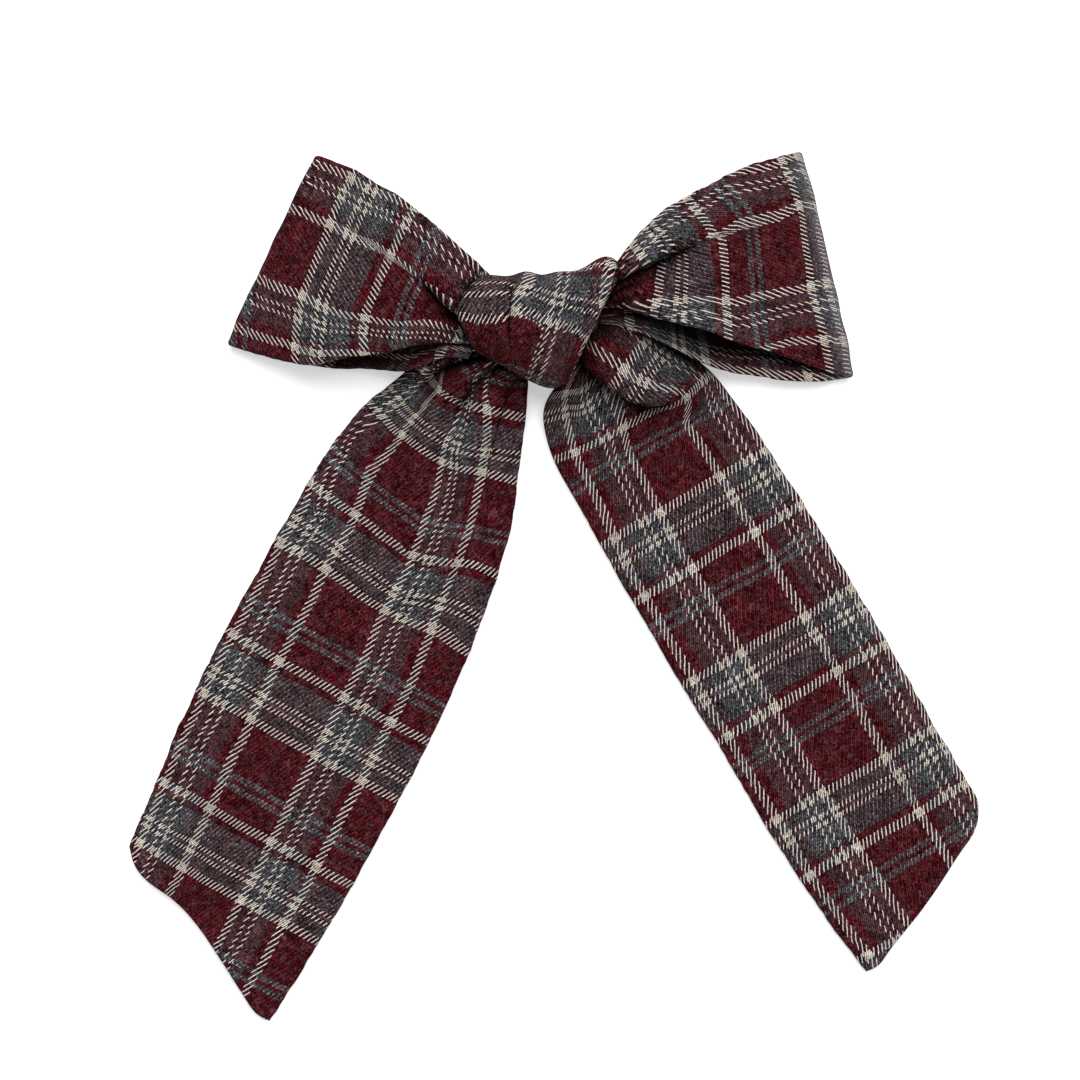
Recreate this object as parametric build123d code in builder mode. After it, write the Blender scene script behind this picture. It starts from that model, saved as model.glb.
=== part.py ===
"""Plaid flannel hair bow with two long tails, on a sprung alligator clip, lying on its back."""
import os
from math import cos, radians, sin

from build123d import *

os.makedirs("parts", exist_ok=True)

# Driving dimensions, in millimetres and degrees. The bow lies on the plane Z = 0 with its
# front up, and the origin is under the middle of the knot. +Y is the top of the bow.
STRIP_T = 2.4        # a flannel tube pressed flat: two plies and their turned-in seams
CLEAR = 0.3          # gap between pieces that move against each other
SOFT_GAP = 0.2       # gap between soft pieces that press on each other

# Alligator clip
STEEL_T = 0.7
CLIP_W = 8.0
CLIP_NOSE = 27.0     # from the origin to the clip's nose, along +X
CLIP_HEEL = 29.0     # from the origin to the finger tabs, along -X
CORNER_R = 2.4
JAW_GAP = 4.7        # hair space between the two jaws
PIVOT_X = -14.0
PIN_D = 1.6
PIN_RUN = 0.05       # radial running clearance of the pin in the lower jaw's ears
PIN_HEAD_D = 2.6
PIN_HEAD_T = 0.4
EAR_GAP = 0.3
TAB_RISE = 5.4       # how far the upper finger tab stands above the upper jaw
TAB_BEND_X = 2.6     # from the pivot back to the tab's bend
NOSE_BEND_X = 14.0   # where the upper jaw starts down towards its nose
NOSE_FLAT = 5.0
JAW_BEND_R = 3.0
TOOTH_H = 0.6
TOOTH_PITCH = 1.3
TOOTH_COUNT = 4
WIRE_D = 0.6
SPRING_TURNS = 4.5
SPRING_LEG = 7.0

# Backing between the clip and the bow
LINING_T = 0.5
LINING_L = 23.0
GLUE_T = 0.4
GLUE_MARGIN = 1.0
FELT_T = 1.4
FELT_L = 30.0
FELT_W = 18.0
FELT_X = 2.0
STITCH_COUNT = 16
STITCH_L = 2.2
STITCH_D = 0.5
STITCH_MARGIN = 1.6

# Knot: (X, middle Y, half width) of the wrap where it is narrow, full and narrow again
KNOT_STATIONS = ((-21, 2.2, 7.8), (-12, 2.2, 12.4), (3, -1, 15.6), (13, 4, 12.6), (20.5, 9.4, 7.8))
KNOT_H = 21.2
KNOT_END_H = 15.0
KNOT_FLAT = 0.6      # how far the felt flattens the knot's back
WRAP_T = 3.0

# Loops: heading and edges as (distance out from the knot, distance to the left of the heading)
LOOP_Z = 14.6        # middle of the back ply where it leaves the knot
LOOP_MOUTH = 6.2     # between the plies' middles at the knot
LOOP_CROWN = 23.0
LOOP_CROWN_OUT = 28.0
LOOP_LEVEL = 9.0     # the back ply stays high for this far, over the finger tab
LOOP_LANDS = 34.0    # where the back ply comes down to the table
FOLD_H = 6.4         # height of the outer fold's corner
FOLD_R = 2.2
LEVEL_R = 12.0
LANDING_R = 16.0
CROWN_R = 14.0
LEFT_LOOP = dict(
    root=(-20.5, 2), heading=154.8, fold=56.3,
    top=((-4, -12.5), (0, -13.8), (17, -18.8), (34, -22.5), (46, -23.4), (56.3, -23)),
    bottom=((-4, 7), (3, 17.6), (12, 22.6), (29, 29.2), (47, 34.2), (56.3, 35.5)),
)
RIGHT_LOOP = dict(
    root=(20.5, 7), heading=13.1, fold=59.5,
    top=((-4, 2), (3, 8.5), (8, 13.1), (16, 18.6), (27, 22.6), (40, 26), (59.5, 28.4)),
    bottom=((-4, -6), (8, -13.4), (19, -22.6), (32, -29.4), (45, -34), (59.5, -36.9)),
)

# Tails: edges as (distance out from the lift line, distance to the left of the heading)
LEFT_TAIL = dict(
    place=((-16, -28.4), 241.0), hinge_t=4.0, lie_at=26.0,
    near=((0, 12.4), (16, 19), (45, 25.6), (79, 29.4), (114, 30.3), (174.3, 28.6)),
    cut=((174.3, 28.6), (173.4, 20.8), (164.6, 5.6), (152.3, -26.5), (147, -29.6)),
    far=((147, -29.6), (107, -34.2), (71, -35.4), (37, -35), (9, -31), (0, -26.8)),
)
LEFT_ROOT = dict(
    place=((-16, -28.4), 241.0), hinge_t=4.0,
    outline=((0, 12.4), (-7.3, 9.5), (-15.7, 4.5), (-23, 1), (-22, -8), (-14, -11.8),
             (-5.9, -20.1), (0, -26.8)),
    over=((-5, 8), (-12, 12.5), (-24, 14)),
    under=((-24, 8.8), (-13, 8.8), (-5, 0)),
)
RIGHT_TAIL = dict(
    place=((8.6, -43), 300.3), hinge_t=3.0, lie_at=16.0,
    near=((0, -1.9), (32, -2.4), (97, -1.9), (130, -1.3), (160.2, 1.8)),
    cut=((160.2, 1.8), (160, 5.4), (151.4, 27.9), (141.4, 49.4), (134, 53.4)),
    far=((134, 53.4), (114, 52.9), (64, 53), (38, 52.4), (17, 51.2), (0, 49.6)),
)
RIGHT_ROOT = dict(
    place=((8.6, -43), 300.3), hinge_t=3.0,
    outline=((0, -1.9), (-6.1, -1.2), (-12.8, -0.6), (-19, 2.7), (-24.3, 11.4), (-30, 15),
             (-30, 28), (-26, 36), (-22.5, 38.9), (-13.2, 46.2), (-6.2, 48.4), (0, 49.6)),
    over=((-5, 6.4), (-14, 8), (-24, 11.9), (-31, 12.4)),
    under=((-31, 8.8), (-21, 8.8), (-9, 0)),
)
LIFT_MAX = 60        # how far a tail lifts off the table

# Heights that follow from the sizes above
UPPER_Z = STEEL_T + JAW_GAP
UPPER_MID_Z = UPPER_Z + STEEL_T / 2
PIVOT_Z = STEEL_T + JAW_GAP / 2
LINING_Z = UPPER_Z + STEEL_T
GLUE_Z = LINING_Z + LINING_T
FELT_Z = GLUE_Z + GLUE_T
KNOT_BACK_Z = FELT_Z + FELT_T
KNOT_Z = KNOT_BACK_Z - KNOT_FLAT + KNOT_H / 2
UPPER_W = CLIP_W - 2 * (STEEL_T + EAR_GAP)
EAR_R = JAW_GAP / 2 - CLEAR
TALL = 60            # taller and wider than anything that it cuts


def outward_planes(root, heading):
    """The table plane and the upright plane that both run outward along a heading."""
    out = Vector(cos(radians(heading)), sin(radians(heading)), 0)
    table = Plane(origin=(*root, 0), x_dir=out, z_dir=(0, 0, 1))
    upright = Plane(origin=(*root, 0), x_dir=out, z_dir=(out.Y, -out.X, 0))
    return table, upright


def save(part, label):
    """Label a finished piece and write it."""
    part.label = label
    export_step(part, f"parts/{label}.step")


# ---------------------------------------------------------------- alligator clip
with BuildPart() as lower_jaw:
    with BuildSketch():
        with Locations(((CLIP_NOSE - CLIP_HEEL) / 2, 0)):
            RectangleRounded(CLIP_NOSE + CLIP_HEEL, CLIP_W, CORNER_R)
    extrude(amount=STEEL_T)
    # Ears that stand up outside the upper jaw's
    with BuildSketch(Plane.XZ.offset(-CLIP_W / 2)):
        with Locations((PIVOT_X, PIVOT_Z)):
            Circle(EAR_R)
        with Locations((PIVOT_X, PIVOT_Z / 2)):
            Rectangle(2 * EAR_R, PIVOT_Z)
    ear = extrude(amount=STEEL_T)
    mirror(ear, about=Plane.XZ)
    # Teeth across the nose
    with BuildSketch(Plane.XZ.offset(-UPPER_W / 2)):
        for i in range(TOOTH_COUNT):
            tip_x = CLIP_NOSE - CORNER_R / 2 - TOOTH_PITCH * (i + 0.5)
            with BuildLine():
                Polyline((tip_x - TOOTH_PITCH / 2, STEEL_T), (tip_x, STEEL_T + TOOTH_H),
                         (tip_x + TOOTH_PITCH / 2, STEEL_T), close=True)
            make_face()
    extrude(amount=UPPER_W)
    with BuildSketch(Plane.XZ.offset(-CLIP_W)):
        with Locations((PIVOT_X, PIVOT_Z)):
            Circle(PIN_D / 2 + PIN_RUN)
    extrude(amount=2 * CLIP_W, mode=Mode.SUBTRACT)
save(lower_jaw.part, "clip_lower_jaw")

NOSE_MID_Z = STEEL_T + TOOTH_H + CLEAR + STEEL_T / 2
NOSE_DROP_X = NOSE_BEND_X + 2 * (UPPER_MID_Z - NOSE_MID_Z)
with BuildPart() as upper_jaw:
    with BuildSketch(Plane.XZ):
        with BuildLine() as jaw_line:
            FilletPolyline(
                (-CLIP_HEEL, UPPER_MID_Z + TAB_RISE),
                (PIVOT_X - TAB_BEND_X, UPPER_MID_Z),
                (NOSE_BEND_X, UPPER_MID_Z),
                (NOSE_DROP_X, NOSE_MID_Z),
                (CLIP_NOSE, NOSE_MID_Z),
                radius=JAW_BEND_R,
            )
        trace(line_width=STEEL_T)
    extrude(amount=UPPER_W / 2, both=True)
    fillet(upper_jaw.edges().filter_by(Axis.Z).group_by(Axis.X)[-1], CORNER_R)
    with BuildSketch(Plane.XZ.offset(-UPPER_W / 2)):
        with Locations((PIVOT_X, PIVOT_Z)):
            Circle(EAR_R)
        with Locations((PIVOT_X, (PIVOT_Z + UPPER_MID_Z) / 2)):
            Rectangle(2 * EAR_R, UPPER_MID_Z - PIVOT_Z)
    ear = extrude(amount=STEEL_T)
    mirror(ear, about=Plane.XZ)
    with BuildSketch(Plane.XZ.offset(-CLIP_W)):
        with Locations((PIVOT_X, PIVOT_Z)):
            Circle(PIN_D / 2)
    extrude(amount=2 * CLIP_W, mode=Mode.SUBTRACT)
save(upper_jaw.part, "clip_upper_jaw")

HEAD_Y = CLIP_W / 2 + PIN_RUN
with BuildPart() as hinge_pin:
    with BuildSketch(Plane.XZ.offset(-HEAD_Y - PIN_HEAD_T)):
        with Locations((PIVOT_X, PIVOT_Z)):
            Circle(PIN_D / 2)
    extrude(amount=2 * (HEAD_Y + PIN_HEAD_T))
    with BuildSketch(Plane.XZ.offset(-HEAD_Y - PIN_HEAD_T)):
        with Locations((PIVOT_X, PIVOT_Z)):
            Circle(PIN_HEAD_D / 2)
    head = extrude(amount=PIN_HEAD_T)
    mirror(head, about=Plane.XZ)
save(hinge_pin.part, "clip_hinge_pin")

# Torsion spring round the pin, between the upper jaw's ears
COIL_R = EAR_R - WIRE_D / 2
COIL_Y = UPPER_W / 2 - STEEL_T - SOFT_GAP - WIRE_D / 2
with BuildPart() as spring:
    with BuildLine() as coil:
        Helix(2 * COIL_Y / SPRING_TURNS, 2 * COIL_Y, COIL_R,
              center=(PIVOT_X, -COIL_Y, PIVOT_Z), direction=(0, 1, 0), lefthand=True)
    with BuildSketch(Plane(origin=coil.line @ 0, z_dir=coil.line % 0)):
        Circle(WIRE_D / 2)
    sweep(path=coil.line, is_frenet=True)
    # A straight leg towards the nose from each end of the coil
    for end in (coil.line @ 0, coil.line @ 1):
        with BuildSketch(Plane.YZ.offset(PIVOT_X)):
            with Locations((end.Y, end.Z)):
                Circle(WIRE_D / 2)
    extrude(amount=SPRING_LEG)
save(spring.part, "clip_spring")

# ---------------------------------------------------------------- lining, glue and felt
LINING_X = NOSE_BEND_X - LINING_L / 2
with BuildPart() as lining:
    with BuildSketch(Plane.XY.offset(LINING_Z)):
        with Locations((LINING_X, 0)):
            Rectangle(LINING_L, UPPER_W)
    extrude(amount=LINING_T)
save(lining.part, "ribbon_lining")

with BuildPart() as glue:
    with BuildSketch(Plane.XY.offset(GLUE_Z)):
        with Locations((LINING_X, 0)):
            SlotOverall(LINING_L - 2 * GLUE_MARGIN, UPPER_W - 2 * GLUE_MARGIN)
    extrude(amount=GLUE_T)
save(glue.part, "glue_bed")

with BuildPart() as felt:
    with BuildSketch(Plane.XY.offset(FELT_Z)):
        with Locations((FELT_X, 0)):
            Ellipse(FELT_L / 2, FELT_W / 2)
    extrude(amount=FELT_T)
save(felt.part, "felt_backing")

with BuildPart() as stitches:
    for i in range(STITCH_COUNT):
        turn = 360 * (i + 0.5) / STITCH_COUNT
        x = (FELT_L / 2 - STITCH_MARGIN) * cos(radians(turn))
        y = (FELT_W / 2 - STITCH_MARGIN) * sin(radians(turn))
        along = Vector(-FELT_L * sin(radians(turn)), FELT_W * cos(radians(turn)), 0)
        place = Plane(origin=(FELT_X + x, y, FELT_Z - STITCH_D / 2), x_dir=along, z_dir=(0, 0, 1))
        with BuildSketch(place):
            SlotOverall(STITCH_L, STITCH_D)
        extrude(amount=STITCH_D / 2)
save(stitches.part, "felt_stitches")


# ---------------------------------------------------------------- knot
def knot_form(inset):
    """The knot's barrel shape, smaller all round by the inset."""
    with BuildPart() as form:
        for i, (x, y, half_width) in enumerate(KNOT_STATIONS):
            is_end = i in (0, len(KNOT_STATIONS) - 1)
            half_height = (KNOT_END_H if is_end else KNOT_H) / 2
            with BuildSketch(Plane.YZ.offset(x)):
                with Locations((y, KNOT_Z)):
                    Ellipse(half_width - inset, half_height - inset)
        loft()
    return form.part


with BuildPart() as knot_wrap:
    add(knot_form(0))
    add(knot_form(WRAP_T), mode=Mode.SUBTRACT)
    split(bisect_by=Plane.XY.offset(KNOT_BACK_Z), keep=Keep.TOP)
save(knot_wrap.part, "knot_wrap")

with BuildPart() as knot_core:
    add(knot_form(WRAP_T + SOFT_GAP))
save(knot_core.part, "knot_core")


# ---------------------------------------------------------------- loops
def build_loop(root, heading, fold, top, bottom):
    """A hollow loop, open at its two edges, whose outer fold lies on the table."""
    table, upright = outward_planes(root, heading)
    ply = STRIP_T / 2
    start = top[0][0] - 1
    with BuildPart() as loop:
        with BuildSketch(upright):
            with BuildLine():
                FilletPolyline(
                    (start, LOOP_Z), (LOOP_LEVEL, LOOP_Z), (LOOP_LANDS, ply),
                    (fold - ply, ply), (fold - ply, FOLD_H), (LOOP_CROWN_OUT, LOOP_CROWN),
                    (start, LOOP_Z + LOOP_MOUTH),
                    radius=(LEVEL_R, LANDING_R, FOLD_R, FOLD_R, CROWN_R),
                )
            trace(line_width=STRIP_T)
        extrude(amount=TALL, both=True)
        with BuildSketch(table):
            with BuildLine():
                Spline(*top)
                Line(top[-1], bottom[-1])
                Spline(*bottom)
                Line(bottom[0], top[0])
            make_face()
        extrude(amount=TALL, mode=Mode.INTERSECT)
        add(knot_form(-SOFT_GAP), mode=Mode.SUBTRACT)
    return loop.part


save(build_loop(**LEFT_LOOP), "left_loop")
save(build_loop(**RIGHT_LOOP), "right_loop")


# ---------------------------------------------------------------- tails
def lift_space(upright, hinge_t):
    """The room that a tail's end needs as it turns about its lift line."""
    reach = hinge_t / 2 + CLEAR
    lean = radians(90 + LIFT_MAX)
    touch = (reach * cos(lean), hinge_t / 2 + reach * sin(lean))
    clear_of = (touch[0] + TALL * sin(lean), touch[1] - TALL * cos(lean))
    with BuildPart() as space:
        with BuildSketch(upright):
            with Locations((0, hinge_t / 2)):
                Circle(reach)
            with BuildLine():
                Polyline(touch, clear_of, (TALL, 0), (0, 0), (0, hinge_t / 2), close=True)
            make_face()
        extrude(amount=TALL, both=True)
    return space.part


def build_root(place, hinge_t, outline, over, under):
    """The gathered cloth that comes down from the knot to a tail's lift line."""
    table, upright = outward_planes(*place)
    with BuildPart() as root:
        with BuildSketch(upright):
            with BuildLine():
                Polyline((0, 0), (0, hinge_t), *over, *under, close=True)
            make_face()
        extrude(amount=TALL, both=True)
        with BuildSketch(table):
            with BuildLine():
                Spline(*outline)
                Line(outline[-1], outline[0])
            make_face()
        extrude(amount=TALL, mode=Mode.INTERSECT)
        add(lift_space(upright, hinge_t), mode=Mode.SUBTRACT)
        add(knot_form(-SOFT_GAP), mode=Mode.SUBTRACT)
    return root.part


def build_tail(place, hinge_t, lie_at, near, cut, far):
    """A tail's flat length, whose thick gathered end is rounded about the lift line."""
    table, upright = outward_planes(*place)
    end_r = hinge_t / 2
    length = 2 * cut[0][0]
    with BuildPart() as tail:
        with BuildSketch(upright):
            with Locations((0, end_r)):
                Circle(end_r)
            with BuildLine():
                Polyline((0, 0), (length, 0), (length, STRIP_T), (lie_at, STRIP_T),
                         (0, hinge_t), close=True)
            make_face()
        extrude(amount=TALL, both=True)
        with BuildSketch(table):
            with BuildLine():
                Spline(*near)
                Polyline(*cut)
                Spline(*far)
                Polyline(far[-1], (-end_r, far[-1][1]), (-end_r, near[0][1]), near[0])
            make_face()
        extrude(amount=TALL, mode=Mode.INTERSECT)
    return tail.part


save(build_root(**LEFT_ROOT), "left_tail_root")
save(build_tail(**LEFT_TAIL), "left_tail")
save(build_root(**RIGHT_ROOT), "right_tail_root")
save(build_tail(**RIGHT_TAIL), "right_tail")
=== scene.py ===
"""Looks of a plaid flannel hair bow: its cloth, its clip, a pale floor, soft light and a camera."""

from math import cos, pi, radians, sin
from types import SimpleNamespace

import bpy
import numpy as np
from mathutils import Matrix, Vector


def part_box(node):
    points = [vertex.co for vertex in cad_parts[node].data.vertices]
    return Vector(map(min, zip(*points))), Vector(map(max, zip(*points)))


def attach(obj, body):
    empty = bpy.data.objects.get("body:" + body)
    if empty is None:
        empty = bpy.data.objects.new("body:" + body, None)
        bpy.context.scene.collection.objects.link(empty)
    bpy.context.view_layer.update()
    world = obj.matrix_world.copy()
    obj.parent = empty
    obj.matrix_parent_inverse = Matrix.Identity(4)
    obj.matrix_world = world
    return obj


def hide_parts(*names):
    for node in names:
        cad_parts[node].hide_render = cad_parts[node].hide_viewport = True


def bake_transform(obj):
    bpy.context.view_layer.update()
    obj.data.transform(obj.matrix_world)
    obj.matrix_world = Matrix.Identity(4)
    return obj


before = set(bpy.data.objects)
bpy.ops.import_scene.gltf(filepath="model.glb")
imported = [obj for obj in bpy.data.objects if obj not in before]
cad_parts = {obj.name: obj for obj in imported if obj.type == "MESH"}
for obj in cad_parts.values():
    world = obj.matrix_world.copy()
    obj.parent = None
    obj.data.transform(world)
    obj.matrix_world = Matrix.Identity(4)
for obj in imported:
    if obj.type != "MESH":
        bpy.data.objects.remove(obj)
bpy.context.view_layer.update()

MM = 0.001
WARP_PITCH = 0.315     # from one warp yarn of the flannel to the next, in mm, so 32 to the centimetre
WEFT_PITCH = 0.567     # the same for its weft yarns, which are thicker
SEAM_R = 1.1           # how round a sewn edge is, in mm
PLY_HALF = 0.95        # half the thickness of two pressed plies, in mm
PLY_AIR = 0.45         # how much further the plies stand apart away from a seam, in mm
WELD_GAP = 0.02        # points this near to each other are joined, in mm
LYING = 1.6            # height of the middle of a pressed tube that lies on the floor, in mm
WEFT_REPEAT = 45.36    # from a stripe of the plaid to the same stripe again, along the cloth, in mm
WHITE_WEFT = 16.2      # where its tight white wefts lie in that, in mm
WIDE_LINE = 1.26       # half the width of a wide white line of eight warp yarns, in mm
THIN_LINE = 0.47       # the same for a thin one of three
EYE = (0.0, -60.2, 1200.0)     # where the camera looks straight down from, in mm


# ---- curves and surfaces
def spline_weights(knots, at):
    """Rows of weights that carry values held at the knots to a smooth curve through them."""
    knots, at = np.asarray(knots, float), np.asarray(at, float)
    count, gap = len(knots), np.diff(knots)
    left, right = np.eye(count), np.zeros((count, count))
    for i in range(1, count - 1):
        left[i, i - 1:i + 2] = gap[i - 1], 2 * (gap[i - 1] + gap[i]), gap[i]
        right[i, i - 1:i + 2] = 6 / gap[i - 1], -6 / gap[i - 1] - 6 / gap[i], 6 / gap[i]
    bend = np.linalg.solve(left, right)
    cell = np.clip(np.searchsorted(knots, at) - 1, 0, count - 2)
    width = gap[cell][:, None]
    b = ((at - knots[cell]) / gap[cell])[:, None]
    a = 1 - b
    one = np.eye(count)
    return (a * one[cell] + b * one[cell + 1]
            + (a ** 3 - a) * width ** 2 / 6 * bend[cell]
            + (b ** 3 - b) * width ** 2 / 6 * bend[cell + 1])


def through(points, at):
    """A smooth curve y(x) through (x, y, ...) points, read at each place."""
    table = np.array(sorted(points), float)
    at = np.asarray(at, float)
    flat = spline_weights(table[:, 0], np.clip(at.ravel(), table[0, 0], table[-1, 0])) @ table[:, 1:]
    return flat.reshape(at.shape) if table.shape[1] == 2 else flat.reshape(*at.shape, -1)


def smooth(x):
    """0 below 0, 1 above 1 and a soft step between."""
    x = np.clip(x, 0, 1)
    return x * x * (3 - 2 * x)


def climb(x, start, over):
    """0 up to the start, and a soft step up to 1 over the mm that follow."""
    return smooth((x - start) / over)


def fall(x, end, over):
    """1 at first, and a soft step down over the last mm before the end, from which it is 0."""
    return smooth((end - x) / over)


def ripple(x, y, size, seed):
    """Soft random hills and hollows, mostly between -1 and 1, about size mm across."""
    rng = np.random.default_rng(seed)
    total = 0
    for _ in range(12):
        way, wave, start = rng.uniform(0, 2 * pi), size * rng.uniform(1.2, 3), rng.uniform(0, 2 * pi)
        total = total + np.sin((x * cos(way) + y * sin(way)) * 2 * pi / wave + start)
    return total / 4


def edge_wander(along, reach, seed, fine_seed):
    """How a sewn edge strays from its line, in mm: in long bends and in short ones."""
    level = 0 * along
    return reach * ripple(along, level, 7, seed) + 0.1 * ripple(along, level, 2, fine_seed)


def edge_steps(length, step):
    """Places along a length, close together at both ends, where the sewn edge turns over."""
    turn = SEAM_R * (1 - np.cos(np.linspace(0, pi / 2, 5)[:-1]))
    inner = np.linspace(SEAM_R, length - SEAM_R, max(4, int(length / step)))
    return np.concatenate([turn, inner, length - turn[::-1]])


def normals(grid):
    """Unit normals of a grid of points."""
    across = np.cross(np.gradient(grid, axis=0), np.gradient(grid, axis=1))
    return across / np.maximum(np.linalg.norm(across, axis=2, keepdims=True), 1e-9)


def as_seen(points):
    """Where points stand in the view from above, measured on the floor: high ones look further out."""
    return EYE[:2] + (points[..., :2] - EYE[:2]) * (EYE[2] / (EYE[2] - points[..., 2:]))


def lay_plaid(points, cloth, marks, weight, reach=9.0):
    """Slide the plaid over a piece so that its lines cross at marked places.

    marks are (x, y, u, v): where a crossing is seen from above, and where it lies on the cloth, in mm.
    Each point slides as a plane does that is fitted to the marks round it, the near ones counting most.
    weight says how far each point takes part, from 0 to 1.
    """
    marks = np.array(marks, float)
    plan, flat = as_seen(points).reshape(-1, 2), cloth.reshape(-1, 2)
    weight = np.broadcast_to(weight, points.shape[:2]).reshape(-1, 1)
    away = plan[:, None] - marks[None, :, :2]
    distance = np.linalg.norm(away, axis=2)
    miss = marks[:, 2:] - flat[(distance + 1000 * (weight < 0.5)).argmin(axis=0)]
    pull = np.exp(-(distance / reach) ** 2) + 1e-3 / (1 + (distance / reach) ** 2)
    level = np.concatenate([np.ones_like(distance)[..., None], -away / reach], axis=2)
    system = np.einsum("pm,pmi,pmj->pij", pull, level, level) + 1e-3 * np.diag([0, 1, 1])
    answer = np.einsum("pm,pmi,mc->pic", pull, level, miss)
    slide = np.linalg.solve(system, answer)[:, 0]
    return (flat + weight * slide).reshape(cloth.shape)


# ---- meshes
def new_mesh(name, points, faces, material, maps=(), worn=None):
    """A smooth mesh object from points in mm, with mm coordinates of its weave and its plaid as UV maps."""
    mesh = bpy.data.meshes.new(name)
    mesh.from_pydata((np.asarray(points) * MM).tolist(), [], np.asarray(faces).tolist())
    for layer_name, flat in zip(("cloth_mm", "plaid_mm"), maps):
        layer = mesh.uv_layers.new(name=layer_name)
        layer.data.foreach_set("uv", np.asarray(flat, np.float32).ravel())
    mesh.polygons.foreach_set("use_smooth", [True] * len(mesh.polygons))
    mesh.materials.append(material)
    mesh.validate()
    if worn is not None:
        rubbed = mesh.attributes.new("worn", "FLOAT", "POINT")
        rubbed.data.foreach_set("value", np.asarray(worn, np.float32))
    piece = bpy.data.objects.new(name, mesh)
    bpy.context.scene.collection.objects.link(piece)
    weld = piece.modifiers.new("weld", "WELD")
    weld.merge_threshold = WELD_GAP * MM
    piece.data = bpy.data.meshes.new_from_object(piece.evaluated_get(bpy.context.evaluated_depsgraph_get()))
    piece.modifiers.clear()
    return piece


def grid_faces(rows, columns, offset=0, flip=False, wrap=False):
    """Quads of a grid of points, as rows of four corner numbers."""
    number = np.arange(rows * columns).reshape(rows, columns) + offset
    if wrap:
        number = np.vstack([number, number[:1]])
    quads = np.stack([number[:-1, :-1], number[1:, :-1], number[1:, 1:], number[:-1, 1:]], axis=-1)
    quads = quads.reshape(-1, 4)
    return quads[:, ::-1] if flip else quads


def rounded(inward, radius=SEAM_R):
    """Share of its full height that a rounded edge has, inward mm from its outermost line."""
    return np.sqrt(1 - (1 - np.clip(inward / radius, 0, 1)) ** 2)


def two_ply(name, middle, cloth, plaid, material, worn, puff_seed):
    """A sewn tube pressed flat: a closed pillow of two plies round a middle surface.

    cloth holds each middle point's (u, v) on the flat cloth, and plaid the same as the pattern falls on
    it, which folds too small to model pull askew. The back ply carries on round the edge. worn is how
    far the nap has been rubbed up grey, from 0 to 1.
    """
    rows, columns = middle.shape[:2]
    u, v = cloth[..., 0], cloth[..., 1]
    from_edge = np.minimum(np.abs(v - v[:, :1]), np.abs(v - v[:, -1:]))
    from_end = np.minimum(np.abs(u - u[:1]), np.abs(u - u[-1:]))
    inward = np.minimum(from_edge, from_end)
    turn = np.gradient(u, axis=0) * np.gradient(v, axis=1) - np.gradient(u, axis=1) * np.gradient(v, axis=0)
    side = np.sign(np.median(turn))
    round_off = rounded(inward)
    half = (round_off * (PLY_HALF + PLY_AIR * smooth(inward / 9)))[..., None]
    out = normals(middle) * side
    loose = 0.12 * ripple(u, v, 5, puff_seed)[..., None] * round_off[..., None]
    front = middle + out * (half + loose)
    back = middle - out * half
    points = np.concatenate([front.reshape(-1, 3), back.reshape(-1, 3)])
    faces = np.concatenate([grid_faces(rows, columns, flip=side < 0),
                            grid_faces(rows, columns, rows * columns, flip=side > 0)])
    maps = []
    for flat in (cloth, plaid):
        behind = np.stack([flat[..., 0], 2 * flat[:, :1, 1] - flat[..., 1]], axis=-1)
        maps.append(np.concatenate([flat.reshape(-1, 2), behind.reshape(-1, 2)])[faces.ravel()])
    worn = np.tile(np.broadcast_to(worn, (rows, columns)).ravel(), 2)
    return new_mesh(name, points, faces, material, maps, worn)


# ---- materials
def linear(hex_colour):
    """An sRGB hex colour as linear RGBA, as the shader wants it."""
    parts = [int(hex_colour[i:i + 2], 16) / 255 for i in (1, 3, 5)]
    return (*[c / 12.92 if c <= 0.04045 else ((c + 0.055) / 1.055) ** 2.4 for c in parts], 1.0)


def finish(name, surface, *details):
    """A material, from a function that adds nodes and gives the settings of the surface."""
    material = bpy.data.materials.new(name)
    material.use_nodes = True
    tree = material.node_tree
    tree.nodes.clear()

    def node(kind, inputs=(), stops=(), **settings):
        """Add a shader node, set its settings and fill its inputs with values or other nodes' outputs.

        inputs go by name or number, or in order, which for MapRange is the value, where it runs from and
        to, and what that is mapped to. stops are a colour ramp's, as (place, hex colour).
        """
        new = tree.nodes.new("ShaderNode" + kind)
        for setting, value in settings.items():
            setattr(new, setting, value)
        for place, value in (inputs if isinstance(inputs, dict) else dict(enumerate(inputs))).items():
            if isinstance(value, bpy.types.Node):
                value = next(output for output in value.outputs if output.enabled)
            if isinstance(value, bpy.types.NodeSocket):
                tree.links.new(value, new.inputs[place])
            else:
                new.inputs[place].default_value = value
        for index, (place, colour) in enumerate(stops):
            elements = new.color_ramp.elements
            stop = elements[index] if index < len(elements) else elements.new(1.0)
            stop.position, stop.color = place, linear(colour)
        return new

    node("OutputMaterial", {"Surface": node("BsdfPrincipled", surface(node, *details))})
    return material


RED, GREY, ASH, WHITE = "#58131a", "#525154", "#605f63", "#fff0df"
# Stripes of the plaid as (colour, threads), each list one full repeat.
WEFT_STRIPES = [(WHITE, 4), (GREY, 6), (WHITE, 2), (GREY, 2), (WHITE, 2), (GREY, 12), (RED, 4),
                (WHITE, 4), (RED, 11), (ASH, 3), (RED, 2), (ASH, 3), (RED, 25)]
WARP_STRIPES = [(WHITE, 8), (RED, 8), (GREY, 13), (WHITE, 3), (GREY, 4), (WHITE, 3), (GREY, 8),
                (WHITE, 8), (RED, 57)]


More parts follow.
